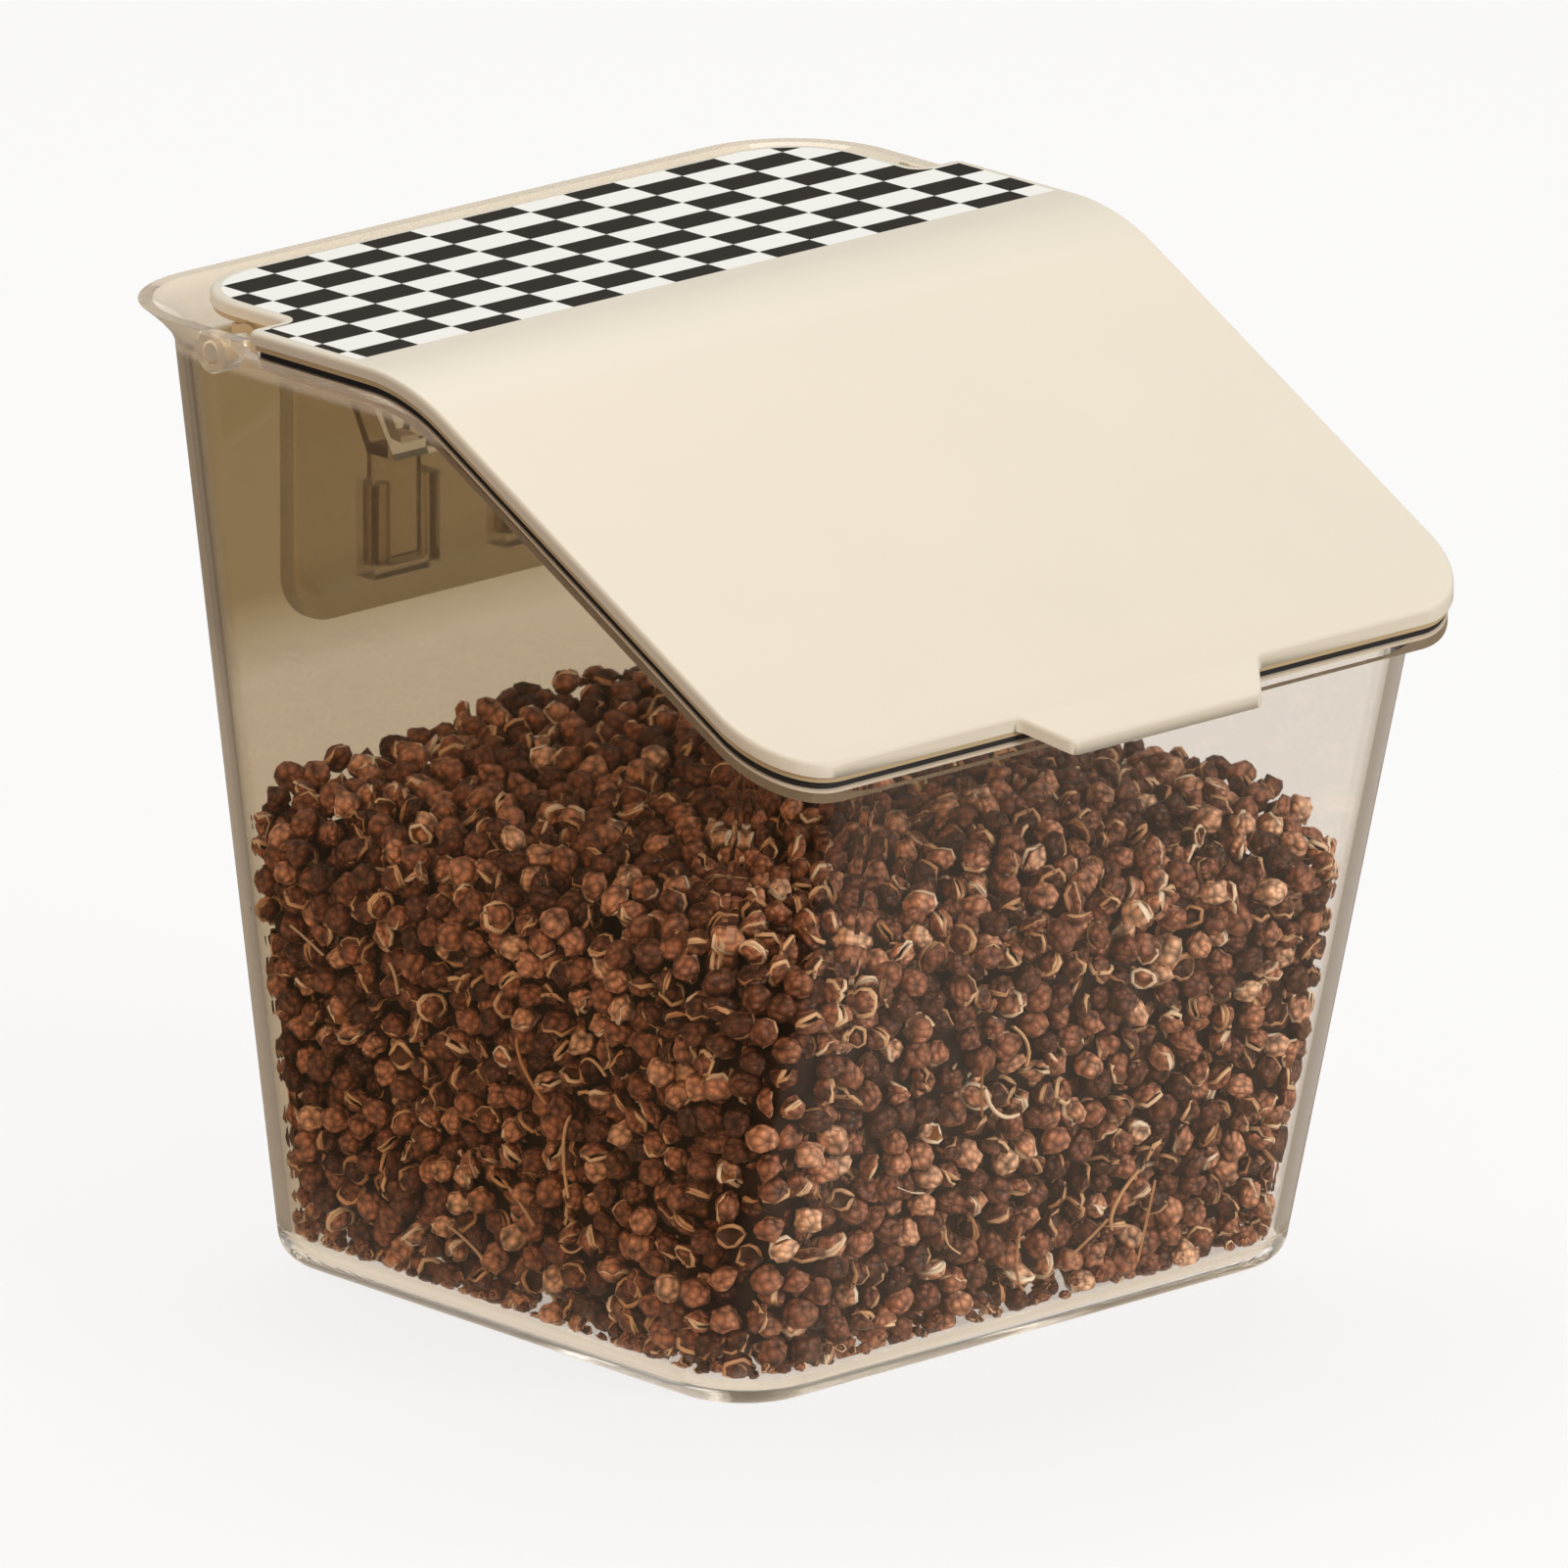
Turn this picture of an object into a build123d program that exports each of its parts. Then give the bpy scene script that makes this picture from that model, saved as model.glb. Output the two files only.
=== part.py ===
from build123d import *
import os
from math import cos, radians, sin, tan

# A spice box with a cranked flip lid, in millimetres.
# The origin is the centre of the tub's flat underside, X is the width, the front faces -Y.

# Tub: a tapered bin whose four walls lean outwards
base_width = 100.0
base_depth = 91.5
side_lean = 0.052
front_lean = 0.205
rear_lean = 0.105
wall = 1.8
floor_thickness = 2.2
corner_radius = 12.0
base_edge_radius = 4.0
inner_edge_radius = 3.0

# Lid: a flat rear half and a front half that slopes down, bent round one arc
lid_top = 125.0
bend_y = 3.2
slope_angle = 28.3
bend_radius = 30.0
cover_thickness = 1.6
liner_thickness = 0.8
seal_thickness = 0.9
seat_gap = 0.2
side_overhang = 3.6
front_overhang = 1.1
lid_corner_radius = 11.0
lid_edge_round = 0.7
step_radius = 1.6

# Finger tab in the middle of the lid's front edge
tab_root_width = 40.6
tab_tip_width = 31.6
tab_reach = 5.4
tab_corner_radius = 1.8

# Lid layers: the liner and the seal stay inside the cover's outline
liner_inset = 0.4
seal_inset = 0.8
rib_depth = 3.6
rib_thickness = 1.2
rib_clearance = 1.3

# Rim flange that the seal closes on
flange_thickness = 1.4
flange_inset = 0.7

# Flared collar round the lid's heel; its lip stays a little below the lid's top
collar_lip_drop = 1.6
collar_rise = 4.9
collar_flare = 4.0
collar_sections = 4
collar_setback = 9.4
heel_gap = 1.6
heel_side_gap = 1.1
heel_corner_radius = 12.0
step_gap = 0.8

# Hinge: two short pins, fast in the lid's knuckles, turn in U-shaped lugs on the collar
hinge_setback = 16.0
hinge_drop = 4.6
pin_radius = 1.5
pin_clearance = 0.05
pin_end_chamfer = 0.3
lug_radius = 2.7
lug_lip_inset = 1.2
knuckle_radius = 2.6
knuckle_length = 4.0
knuckle_gap = 1.0

# Hanger: two tongues on the tub's back drop into rails on a plate that stays on the wall
tongue_spacing = 22.0
tongue_width = 7.6
tongue_thickness = 1.6
tongue_drop = 44.0
tongue_length = 14.0
gusset_width = 17.0
gusset_height = 12.0
gusset_rib = 1.8
plate_width = 54.8
plate_height = 40.0
plate_foot = 5.4
plate_thickness = 2.0
plate_corner_radius = 7.0
plate_edge_chamfer = 0.5
pad_thickness = 1.0
pad_margin = 3.0
wall_gap = 1.6
rail_wall = 1.4
rail_lip = 1.2
rail_lip_thickness = 1.4
rail_height = 11.0
rail_floor = 1.4
fit_gap = 0.3

reach = 400.0

# Heights that follow the lid's top
collar_lip_height = lid_top - collar_lip_drop
collar_height = collar_lip_height - collar_rise
tongue_bottom = lid_top - tongue_drop


# Outer faces of the leaning walls at a height, grown outwards
def half_width(z, grow=0.0):
    return base_width / 2 + side_lean * z + grow


def front_y(z, grow=0.0):
    return -(base_depth / 2 + front_lean * z + grow)


def rear_y(z, grow=0.0):
    return base_depth / 2 + rear_lean * z + grow


def tapered_bin(bottom, top, grow=0.0):
    """The bin between two heights: its side view cut to its front view, with round corners."""
    with BuildPart() as block:
        with BuildSketch(Plane.YZ):
            Polygon(
                (front_y(bottom, grow), bottom),
                (rear_y(bottom, grow), bottom),
                (rear_y(top, grow), top),
                (front_y(top, grow), top),
                align=None,
            )
        extrude(amount=reach, both=True)
        with BuildSketch(Plane.XZ):
            Polygon(
                (-half_width(bottom, grow), bottom),
                (half_width(bottom, grow), bottom),
                (half_width(top, grow), top),
                (-half_width(top, grow), top),
                align=None,
            )
        extrude(amount=reach, both=True, mode=Mode.INTERSECT)
        corners = block.edges().filter_by(lambda edge: abs(edge.tangent_at(0.5).Z) > 0.5)
        fillet(corners, corner_radius + grow)
    return block.part


# Stack of layers below the lid's top surface
liner_depth = cover_thickness
seal_depth = liner_depth + liner_thickness
seal_face_depth = seal_depth + seal_thickness
seat_depth = seal_face_depth + seat_gap
slope = radians(slope_angle)
bend_start_y = bend_y + bend_radius * tan(slope / 2)
bend_centre_z = lid_top - bend_radius


def bend_point(depth, turn):
    radius = bend_radius - depth
    return (bend_start_y - radius * sin(turn), bend_centre_z + radius * cos(turn))


def slope_point(depth, run):
    y, z = bend_point(depth, slope)
    return (y - run * cos(slope), z - run * sin(slope))


def layer_profile(upper, lower, rear):
    """Side view of a cranked layer between two depths below the lid's top surface."""
    with BuildSketch(Plane.YZ) as profile:
        with BuildLine():
            Line((rear, lid_top - upper), bend_point(upper, 0))
            ThreePointArc(bend_point(upper, 0), bend_point(upper, slope / 2), bend_point(upper, slope))
            Line(bend_point(upper, slope), slope_point(upper, reach / 2))
            Line(slope_point(upper, reach / 2), slope_point(lower, reach / 2))
            Line(slope_point(lower, reach / 2), bend_point(lower, slope))
            ThreePointArc(bend_point(lower, slope), bend_point(lower, slope / 2), bend_point(lower, 0))
            Line(bend_point(lower, 0), (rear, lid_top - lower))
            Line((rear, lid_top - lower), (rear, lid_top - upper))
        make_face()
    return profile.sketch


# Where the front wall meets the seat of the lid
seat_drop = lid_top - bend_y * tan(slope) - seat_depth / cos(slope)
front_rim_y = -(base_depth / 2 + front_lean * seat_drop) / (1 + front_lean * tan(slope))

# Lid outline, taken from the tub that it closes
lid_front = front_rim_y - front_overhang
seal_width = front_overhang + wall + rib_clearance / 2 - seal_inset
lid_half_width = half_width(lid_top) + side_overhang
heel_half_width = half_width(collar_height, -wall) - heel_side_gap
heel_y = rear_y(collar_height, -wall) - heel_gap

# Hinge axis, along X
hinge_y = rear_y(collar_height, -wall) - hinge_setback
hinge_z = lid_top - hinge_drop
collar_front = hinge_y - collar_setback + lug_radius
step_y = collar_front - step_gap

# Lip of the collar
lip_half_width = half_width(collar_lip_height, collar_flare)
lip_rear = rear_y(collar_lip_height, collar_flare)


def lid_plan(inset=0.0, with_tab=False):
    """Plan of the lid: wide in front of the collar, narrow where the collar goes round it."""
    with BuildSketch(Plane.XY) as plan:
        with Locations((0, lid_front + inset)):
            Rectangle(
                2 * (lid_half_width - inset),
                step_y - lid_front - 2 * inset,
                align=(Align.CENTER, Align.MIN),
            )
        with Locations((0, heel_y - inset)):
            Rectangle(
                2 * (heel_half_width - inset),
                heel_y - inset - bend_start_y,
                align=(Align.CENTER, Align.MAX),
            )
        fillet(plan.vertices().group_by(Axis.Y)[0], lid_corner_radius - inset)
        fillet(plan.vertices().group_by(Axis.Y)[-1], heel_corner_radius - inset)
        steps = plan.vertices().filter_by(lambda v: abs(v.Y - step_y + inset) < 0.01)
        fillet(steps, step_radius)
        if with_tab:
            with Locations((0, lid_front + inset)):
                Polygon(
                    (-tab_root_width / 2, 0),
                    (-tab_tip_width / 2, -tab_reach),
                    (tab_tip_width / 2, -tab_reach),
                    (tab_root_width / 2, 0),
                    align=None,
                )
            tab = plan.vertices().filter_by(lambda v: abs(v.X) < tab_root_width / 2 + 0.01)
            fillet(tab, tab_corner_radius)
    return plan.sketch


def rim_edges(part, facing):
    """Edges between the upright sides of a layer and its upper (1) or lower (-1) faces."""
    upright = part.faces().filter_by(lambda f: abs(f.normal_at().Z) < 0.1).edges()
    level = part.faces().filter_by(lambda f: f.normal_at().Z * facing > 0.5).edges()
    return [edge for edge in level if edge in upright]


# Cream cover of the lid, one cranked shell with a finger tab
with BuildPart() as lid_cover:
    extrude(layer_profile(0, cover_thickness, reach), amount=reach, both=True)
    extrude(lid_plan(with_tab=True), amount=reach, mode=Mode.INTERSECT)
    fillet(rim_edges(lid_cover, 1), lid_edge_round)
lid_cover.part.label = "lid_cover"

# Locating rib under the liner, which drops just inside the mouth of the tub
rib_lower_depth = seal_depth + rib_depth
rib_rear = step_y - seal_inset - seal_width - step_radius
mouth = tapered_bin(0, lid_top, -wall - rib_clearance)
mouth_core = tapered_bin(0, lid_top, -wall - rib_clearance - rib_thickness)
with BuildPart() as rib:
    extrude(layer_profile(seal_depth, rib_lower_depth, rib_rear), amount=reach, both=True)
    add(mouth, mode=Mode.INTERSECT)
    add(mouth_core, mode=Mode.SUBTRACT)

# Knuckles that carry the hinge pins
knuckle_outer = half_width(hinge_z, -wall) - knuckle_gap
knuckle_inner = knuckle_outer - knuckle_length

with BuildPart() as knuckle:
    with BuildSketch(Plane.YZ.offset(knuckle_inner)):
        with Locations((hinge_y, hinge_z)):
            Circle(knuckle_radius)
            Rectangle(2 * knuckle_radius, hinge_drop - seal_depth, align=(Align.CENTER, Align.MIN))
    extrude(amount=knuckle_length)

# Liner under the cover, with the rib and the two knuckles
with BuildPart() as lid_liner:
    extrude(layer_profile(liner_depth, seal_depth, reach), amount=reach, both=True)
    extrude(lid_plan(liner_inset), amount=reach, mode=Mode.INTERSECT)
    add(rib.part)
    add(knuckle.part)
    add(mirror(knuckle.part, about=Plane.YZ))
    with BuildSketch(Plane.YZ):
        with Locations((hinge_y, hinge_z)):
            Circle(pin_radius)
    extrude(amount=reach, both=True, mode=Mode.SUBTRACT)
lid_liner.part.label = "lid_liner"

# Dark seal: a flat U-shaped strip along both sides and the front
with BuildPart() as lid_seal:
    extrude(layer_profile(seal_depth, seal_face_depth, step_y - step_radius), amount=reach, both=True)
    extrude(lid_plan(seal_inset), amount=reach, mode=Mode.INTERSECT)
    extrude(lid_plan(seal_inset + seal_width), amount=reach, mode=Mode.SUBTRACT)
lid_seal.part.label = "lid_seal"


# Outside of the bin and the space inside it, up to the foot of the collar
with BuildPart() as bin_outside:
    add(tapered_bin(0, collar_height))
    fillet(bin_outside.faces().sort_by(Axis.Z)[0].edges(), base_edge_radius)
with BuildPart() as cavity:
    add(tapered_bin(floor_thickness, collar_height, -wall))
    fillet(cavity.faces().sort_by(Axis.Z)[0].edges(), inner_edge_radius)


# Flared collar: it grows out of the bin's rim, and moves out faster and faster towards the lip
def flare_section(step, grow):
    share = step / collar_sections
    height = collar_height + share * (collar_lip_height - collar_height)
    flare = collar_flare * share**1.5 + grow
    with BuildSketch(Plane.XY.offset(height)) as section:
        with Locations((0, (rear_y(height, flare) + front_y(height, flare)) / 2)):
            RectangleRounded(
                2 * half_width(height, flare),
                rear_y(height, flare) - front_y(height, flare),
                corner_radius + flare,
            )
    return section.sketch


def flared_collar(bin_part, grow):
    rim = bin_part.faces().sort_by(Axis.Z)[-1]
    with BuildPart() as collar:
        loft([rim] + [flare_section(step, grow) for step in range(1, collar_sections + 1)])
    return collar.part


collar_outside = flared_collar(bin_outside.part, 0)
collar_inside = flared_collar(cavity.part, -wall)

# Thin flange along the mouth of the tub, in front of the collar
with BuildPart() as flange:
    extrude(layer_profile(seat_depth, seat_depth + flange_thickness, collar_front), amount=reach, both=True)
    extrude(lid_plan(flange_inset), amount=reach, mode=Mode.INTERSECT)

# Wall that the tub hangs on, and what stands between it and the tub
house_wall_y = lip_rear + wall_gap
plate_back_y = house_wall_y - pad_thickness
plate_front_y = plate_back_y - plate_thickness
tongue_back_y = plate_front_y - fit_gap
tongue_front_y = tongue_back_y - tongue_thickness
tongue_top = tongue_bottom + tongue_length
gusset_top = tongue_top + gusset_height
tongue_places = [(-tongue_spacing / 2, tongue_bottom), (tongue_spacing / 2, tongue_bottom)]


def gusset_outline(inset):
    """Funnel above the tongue; inset leaves its two slanting ribs and is open at the top."""
    with BuildSketch() as outline:
        Polygon(
            (-tongue_width / 2 + inset, tongue_length + inset),
            (tongue_width / 2 - inset, tongue_length + inset),
            (gusset_width / 2 - inset, gusset_top - tongue_bottom + inset),
            (-gusset_width / 2 + inset, gusset_top - tongue_bottom + inset),
            align=None,
        )
    return outline.sketch


# Clear tub, in one moulding with its flange, collar, hinge lugs and hanger tongues
lug_face_x = lip_half_width - lug_lip_inset
with BuildPart() as tub:
    add(bin_outside.part)
    extrude(layer_profile(-reach / 8, seat_depth, collar_front), amount=reach, both=True, mode=Mode.SUBTRACT)
    add(flange.part)
    add(collar_outside)
    extrude(layer_profile(-reach / 8, seat_depth, collar_front), amount=reach, both=True, mode=Mode.SUBTRACT)
    with BuildSketch(Plane.YZ.offset(-lug_face_x)):
        with Locations((hinge_y, hinge_z)):
            Circle(lug_radius)
            Rectangle(
                2 * lug_radius,
                collar_lip_height - wall - hinge_z,
                align=(Align.CENTER, Align.MIN),
            )
    extrude(amount=2 * lug_face_x)
    with BuildSketch(Plane.XZ.offset(-tongue_back_y)):
        with Locations(*tongue_places):
            Rectangle(tongue_width, gusset_top - tongue_bottom, align=(Align.CENTER, Align.MIN))
    extrude(amount=tongue_thickness)
    with BuildSketch(Plane.XZ.offset(-tongue_back_y)):
        with Locations(*tongue_places):
            add(gusset_outline(0))
    extrude(amount=tongue_back_y - rear_y(tongue_top, -wall))
    with BuildSketch(Plane.XZ.offset(-tongue_back_y)):
        with Locations(*tongue_places):
            add(gusset_outline(gusset_rib))
    extrude(amount=tongue_back_y - rear_y(gusset_top), mode=Mode.SUBTRACT)
    add(cavity.part, mode=Mode.SUBTRACT)
    add(collar_inside, mode=Mode.SUBTRACT)
    with BuildSketch(Plane.YZ):
        with Locations((hinge_y, hinge_z)):
            Circle(pin_radius + pin_clearance)
    extrude(amount=reach, both=True, mode=Mode.SUBTRACT)
tub.part.label = "tub"

# Hinge pins, pressed through the lugs from outside into the knuckles
def hinge_pin(side):
    with BuildPart() as pin:
        with BuildSketch(Plane.YZ.offset(knuckle_inner)):
            with Locations((hinge_y, hinge_z)):
                Circle(pin_radius)
        extrude(amount=lug_face_x - knuckle_inner)
        chamfer(pin.faces().filter_by(Axis.X).edges(), pin_end_chamfer)
    return pin.part if side > 0 else pin.part.mirror(Plane.YZ)


hinge_pin_left = hinge_pin(-1)
hinge_pin_left.label = "hinge_pin_left"
hinge_pin_right = hinge_pin(1)
hinge_pin_right.label = "hinge_pin_right"

# Wall plate with a pair of lipped rails for each tongue
plate_bottom = tongue_bottom - rail_floor - plate_foot
rail_inner = tongue_width / 2 + fit_gap
lip_back_y = tongue_front_y - fit_gap
lip_front_y = lip_back_y - rail_lip_thickness
rail_places = [(x, tongue_bottom - fit_gap - rail_floor) for x, z in tongue_places]
with BuildPart() as wall_plate:
    with BuildSketch(Plane.XZ.offset(-plate_back_y)):
        with Locations((0, plate_bottom + plate_height / 2)):
            RectangleRounded(plate_width, plate_height, plate_corner_radius)
    extrude(amount=plate_thickness)
    chamfer(wall_plate.faces().sort_by(Axis.Y)[0].outer_wire().edges(), plate_edge_chamfer)
    with BuildSketch(Plane.XZ.offset(-plate_front_y)):
        with Locations(*rail_places):
            Rectangle(2 * (rail_inner + rail_wall), rail_height + rail_floor, align=(Align.CENTER, Align.MIN))
    extrude(amount=plate_front_y - lip_front_y)
    with BuildSketch(Plane.XZ.offset(-plate_front_y)):
        with Locations(*[(x, z + rail_floor) for x, z in rail_places]):
            Rectangle(2 * rail_inner, rail_height, align=(Align.CENTER, Align.MIN))
    extrude(amount=plate_front_y - lip_back_y, mode=Mode.SUBTRACT)
    with BuildSketch(Plane.XZ.offset(-lip_back_y)):
        with Locations(*[(x, z + rail_floor) for x, z in rail_places]):
            Rectangle(2 * (rail_inner - rail_lip), rail_height, align=(Align.CENTER, Align.MIN))
    extrude(amount=rail_lip_thickness, mode=Mode.SUBTRACT)
wall_plate.part.label = "wall_plate"

# Adhesive pad between the plate and the wall
with BuildPart() as adhesive_pad:
    with BuildSketch(Plane.XZ.offset(-house_wall_y)):
        with Locations((0, plate_bottom + plate_height / 2)):
            RectangleRounded(
                plate_width - 2 * pad_margin,
                plate_height - 2 * pad_margin,
                plate_corner_radius - pad_margin,
            )
    extrude(amount=pad_thickness)
adhesive_pad.part.label = "adhesive_pad"

os.makedirs("parts", exist_ok=True)
pieces = [tub.part, lid_cover.part, lid_liner.part, lid_seal.part]
pieces += [hinge_pin_left, hinge_pin_right, wall_plate.part, adhesive_pad.part]
for piece in pieces:
    export_step(piece, f"parts/{piece.label}.step")
    print(piece.label, round(piece.volume), len(piece.solids()))
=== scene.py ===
import math
import random

import bmesh
import bpy
import numpy as np
from mathutils import Euler, Matrix, Vector


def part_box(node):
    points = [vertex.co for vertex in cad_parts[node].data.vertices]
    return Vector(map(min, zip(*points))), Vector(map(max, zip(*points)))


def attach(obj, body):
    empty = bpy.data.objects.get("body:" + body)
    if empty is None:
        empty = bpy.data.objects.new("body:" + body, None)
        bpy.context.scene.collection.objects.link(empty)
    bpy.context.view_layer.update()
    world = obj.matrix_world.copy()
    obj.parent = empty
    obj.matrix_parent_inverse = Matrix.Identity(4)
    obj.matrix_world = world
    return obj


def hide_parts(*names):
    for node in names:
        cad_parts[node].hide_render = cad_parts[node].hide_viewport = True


mm = 0.001

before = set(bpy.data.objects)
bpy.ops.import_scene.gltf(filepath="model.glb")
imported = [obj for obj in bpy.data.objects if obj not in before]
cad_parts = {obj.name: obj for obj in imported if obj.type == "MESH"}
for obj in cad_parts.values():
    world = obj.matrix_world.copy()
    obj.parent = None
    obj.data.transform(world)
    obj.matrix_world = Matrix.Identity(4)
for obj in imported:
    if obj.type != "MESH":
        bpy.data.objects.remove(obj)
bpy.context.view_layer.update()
print("frame loaded:", len(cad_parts), "nodes")


# sRGB hex to the linear colour that Blender's sockets take
def hexColour(code):
    channels = [int(code[i : i + 2], 16) / 255 for i in (1, 3, 5)]
    linear = [c / 12.92 if c <= 0.04045 else ((c + 0.055) / 1.055) ** 2.4 for c in channels]
    return (*linear, 1.0)


# One node with its settings. An input given a socket, or a node for its first output, is linked
def addNode(tree, kind, inputs=None, stops=None, **settings):
    node = tree.nodes.new(kind)
    for name, value in settings.items():
        setattr(node, name, value)
    for name, value in (inputs or {}).items():
        if isinstance(value, bpy.types.Node):
            value = value.outputs[0]
        if isinstance(value, bpy.types.NodeSocket):
            tree.links.new(value, node.inputs[name])
        else:
            node.inputs[name].default_value = value
    for index, (place, code) in enumerate(stops or []):
        ramp = node.color_ramp.elements
        element = ramp[index] if index < len(ramp) else ramp.new(place)
        element.position = place
        element.color = hexColour(code)
    return node


def newMaterial(name):
    material = bpy.data.materials.new(name)
    material.use_nodes = True
    material.node_tree.nodes.clear()
    return material, material.node_tree


def finishMaterial(tree, shader):
    addNode(tree, "ShaderNodeOutputMaterial", {"Surface": shader})


def paint(piece, *materials):
    piece.data.materials.clear()
    for material in materials:
        piece.data.materials.append(material)


def deselectAll():
    bpy.ops.object.select_all(action="DESELECT")


def makeActive(piece):
    deselectAll()
    piece.select_set(True)
    bpy.context.view_layer.objects.active = piece


deselectAll()

# The camera stands at the front left, a little above the box, with a long lens
cameraView = {
    "azimuth": -42.633,  # degrees round the box from the front
    "elevation": 16.612,
    "roll": 0.134,
    "target": (0, 3.2 * mm, 60 * mm),
    "distance": 3230.4 * mm,
    "aside": 2.272 * mm,
    "above": 1.019 * mm,
    "lens": 594.1,  # mm, on the 36 mm sensor
    "clipEnd": 20,
}


def makeCamera(view):
    azimuth, elevation, roll = (math.radians(view[k]) for k in ("azimuth", "elevation", "roll"))
    back = Vector(
        (
            math.sin(azimuth) * math.cos(elevation),
            -math.cos(azimuth) * math.cos(elevation),
            math.sin(elevation),
        )
    )
    right = Vector((math.cos(azimuth), math.sin(azimuth), 0))
    up = back.cross(right)
    place = Vector(view["target"]) + back * view["distance"]
    place = place + right * view["aside"] + up * view["above"]
    turnedRight = right * math.cos(roll) + up * math.sin(roll)
    turnedUp = up * math.cos(roll) - right * math.sin(roll)
    turn = Matrix((turnedRight, turnedUp, back)).transposed().to_euler()
    bpy.ops.object.camera_add(location=place, rotation=turn)
    camera = bpy.context.object
    camera.data.lens = view["lens"]
    camera.data.clip_end = view["clipEnd"]
    bpy.context.scene.camera = camera


makeCamera(cameraView)

# Lamps: a wide one overhead, a soft one in front and a weak warm one at the left, with the world's
# even light. The table is pale to the camera; the box mirrors it in glowing painted tones, darker
# and brown at the left, and those painted tones also light the box
studio = {
    "lamps": {
        "topLamp": {"place": (0.25, 0.42, 1.4), "size": 1.2, "power": 12.0, "colour": "#FFFFFF"},
        "frontLamp": {"place": (0.5, -1.3, 0.55), "size": 0.8, "power": 10.2, "colour": "#FFFAF8"},
        "leftLamp": {"place": (-1.2, -0.5, 0.45), "size": 0.6, "power": 4.0, "colour": "#FFCE9E"},
    },
    "worldLight": 0.3,
    "worldColour": "#F6F9FF",
    "mirroredWhite": 0.2,  # share of the white background that a glossy surface mirrors
    "floorSize": 8.0,
    "floorGap": 0.2 * mm,  # under the box's foot
    "floorColour": "#F4F1EC",
    "floorWhite": 0.8,  # how far the floor's look goes to the white of the background
    # The table's tones for mirrored and scattered rays: glowing painted reflections, which also
    # light the box
    "mirroredLeft": "#20150D",
    "mirroredInside": "#75634A",  # painted reflection in the inner side of the left wall
    "mirroredRight": "#988A7A",
    # painted glow under the box, which lights the heap's underside through the clear floor
    "paintedGlowUnder": "#E8DCCB",
    "mirroredEdges": (-85 * mm, -50 * mm),  # the left tone turns to the right tone between these
    "footprint": (52.5 * mm, 48.5 * mm),  # half sizes of the place under the box
}


# Three kinds of ray. "seen" comes straight or through clear walls, and also from a rim that mirrors
# it more than once, so rims stay bright. "once" is mirrored once, "within" has been through a wall.
# Light that a matt surface has scattered isn't "seen", so the white doesn't light the box
def viewRays(tree):
    path = addNode(tree, "ShaderNodeLightPath").outputs
    once = addNode(
        tree, "ShaderNodeMath", {0: path["Glossy Depth"], 1: 1.0, 2: 0.5}, operation="COMPARE"
    )
    within = addNode(
        tree, "ShaderNodeMath", {0: path["Transmission Depth"], 1: 0.5}, operation="GREATER_THAN"
    )
    bounced = addNode(
        tree, "ShaderNodeMath", {0: path["Diffuse Depth"], 1: 0.5}, operation="GREATER_THAN"
    )
    other = addNode(tree, "ShaderNodeMath", {0: once, 1: bounced}, operation="MAXIMUM")
    seen = addNode(tree, "ShaderNodeMath", {0: 1.0, 1: other}, operation="SUBTRACT")
    return {"seen": seen, "once": once, "within": within}


def makeLamp(name, settings):
    bpy.ops.object.light_add(type="AREA", location=settings["place"])
    lamp = bpy.context.object
    lamp.name = name
    lamp.data.size = settings["size"]
    lamp.data.energy = settings["power"]
    lamp.data.color = hexColour(settings["colour"])[:3]
    aim = Vector(cameraView["target"]) - Vector(settings["place"])
    lamp.rotation_euler = aim.to_track_quat("-Z", "Y").to_euler()


def makeWorld(s):
    world = bpy.data.worlds.new("studioWorld")
    world.use_nodes = True
    tree = world.node_tree
    tree.nodes.clear()
    rays = viewRays(tree)
    light = addNode(
        tree,
        "ShaderNodeMix",
        {0: rays["once"], 6: (s["worldLight"],) * 3 + (1,), 7: (s["mirroredWhite"],) * 3 + (1,)},
        data_type="RGBA",
    )
    tint = addNode(
        tree,
        "ShaderNodeMix",
        {0: 1.0, 6: light.outputs[2], 7: hexColour(s["worldColour"])},
        data_type="RGBA",
        blend_type="MULTIPLY",
    )
    even = addNode(tree, "ShaderNodeBackground", {"Color": tint.outputs[2], "Strength": 1.0})
    white = addNode(tree, "ShaderNodeBackground", {"Color": (1, 1, 1, 1), "Strength": 1.0})
    sky = addNode(tree, "ShaderNodeMixShader", {0: rays["seen"], 1: even, 2: white})
    addNode(tree, "ShaderNodeOutputWorld", {"Surface": sky})
    bpy.context.scene.world = world
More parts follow.
